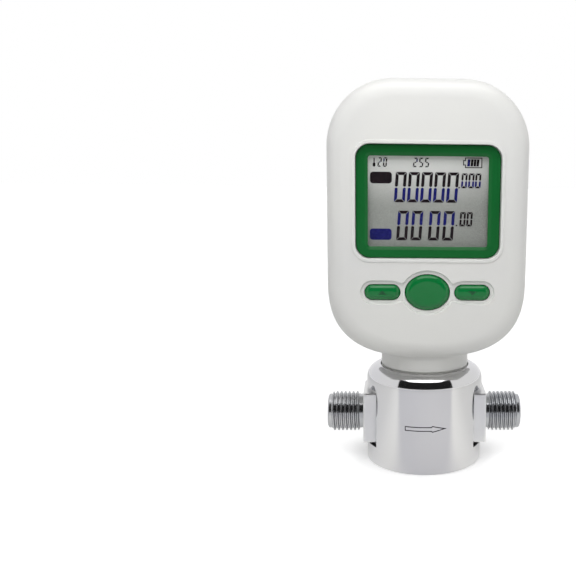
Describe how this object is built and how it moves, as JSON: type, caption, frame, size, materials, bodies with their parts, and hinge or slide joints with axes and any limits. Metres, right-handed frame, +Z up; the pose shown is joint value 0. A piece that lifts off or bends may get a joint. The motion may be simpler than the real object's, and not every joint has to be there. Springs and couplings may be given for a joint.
{
  "type": "thermal mass flow meter",
  "caption": "Thermal mass flow meter: threaded flow block in a chrome cover, with a swivelling display head, keys and a battery door.",
  "frame": {"origin": "centre of the base's underside, which is the floor it stands on, on the swivel axis", "axes": "+Z up along the swivel axis, +X along the flow towards the outlet, the display faces -Y"},
  "size_m": [0.0636, 0.0383, 0.1215],
  "materials": {
    "chrome_cover": "polished plating",
    "machined_steel": "machined and plated",
    "port_steel": "turned and plated",
    "fastener_steel": "plated",
    "fine_steel": "etched",
    "seal_rubber": "matte",
    "dark_plastic": "moulded",
    "ivory_plastic": "moulded",
    "white_case": "satin moulded",
    "green_frame": "satin moulded",
    "green_keys": "smooth moulded",
    "clear_window": "clear",
    "display_grey": "reflective display",
    "circuit_board": "lacquered",
    "chip_black": "moulded",
    "cable_jacket": "matte",
    "contact_metal": "sprung",
    "lead_red": "matte",
    "cell_jacket": "printed sleeve, plain"
  },
  "bodies": {
    "base": {"base_cover": "chrome_cover", "base_plate": "machined_steel", "base_screws": "fastener_steel", "flow_block": "machined_steel", "inlet_fitting": "port_steel", "outlet_fitting": "port_steel", "port_seals": "seal_rubber", "inlet_screen": "fine_steel", "laminar_element": "fine_steel", "sensor_seal": "seal_rubber", "sensor_body": "dark_plastic", "sensor_chip": "chip_black", "sensor_screws": "fastener_steel", "sensor_board": "circuit_board", "sensor_header": "ivory_plastic", "sensor_plug": "ivory_plastic", "swivel_plate": "machined_steel", "swivel_plate_screws": "fastener_steel", "stop_pin": "fastener_steel", "thrust_washer": "ivory_plastic", "neck_bush": "dark_plastic"},
    "head": {"neck_collar": "white_case", "front_shell": "white_case", "rear_shell": "white_case", "shell_gasket": "seal_rubber", "shell_screws": "fastener_steel", "display_frame": "green_frame", "display_window": "clear_window", "lcd_module": "display_grey", "lcd_strips": "seal_rubber", "main_board": "circuit_board", "board_screws": "fastener_steel", "board_chips": "chip_black", "board_socket": "ivory_plastic", "key_switches": "dark_plastic", "sensor_cable": "cable_jacket", "battery_tray": "dark_plastic", "battery_contacts": "contact_metal", "battery_leads": "lead_red", "battery_cells": "cell_jacket"},
    "key_left": {"key_left": "green_keys"},
    "key_centre": {"key_centre": "green_keys"},
    "key_right": {"key_right": "green_keys"},
    "battery_door": {"battery_door": "white_case"}
  },
  "joints": [
    {"name": "head_swivel", "type": "hinge", "parent": "base", "child": "head", "pos_m": [0, 0, 0.0315], "axis": [0, 0, 1], "range_deg": [-90, 90]},
    {"name": "key_left_press", "type": "slide", "parent": "head", "child": "key_left", "axis": [0, 1, 0], "range_m": [0, 0.0008], "stiffness_N_per_m": 400},
    {"name": "key_centre_press", "type": "slide", "parent": "head", "child": "key_centre", "axis": [0, 1, 0], "range_m": [0, 0.0008], "stiffness_N_per_m": 400},
    {"name": "key_right_press", "type": "slide", "parent": "head", "child": "key_right", "axis": [0, 1, 0], "range_m": [0, 0.0008], "stiffness_N_per_m": 400},
    {"name": "door_lift", "type": "slide", "parent": "head", "child": "battery_door", "axis": [0, 1, 0], "range_m": [0, 0.015]}
  ]
}
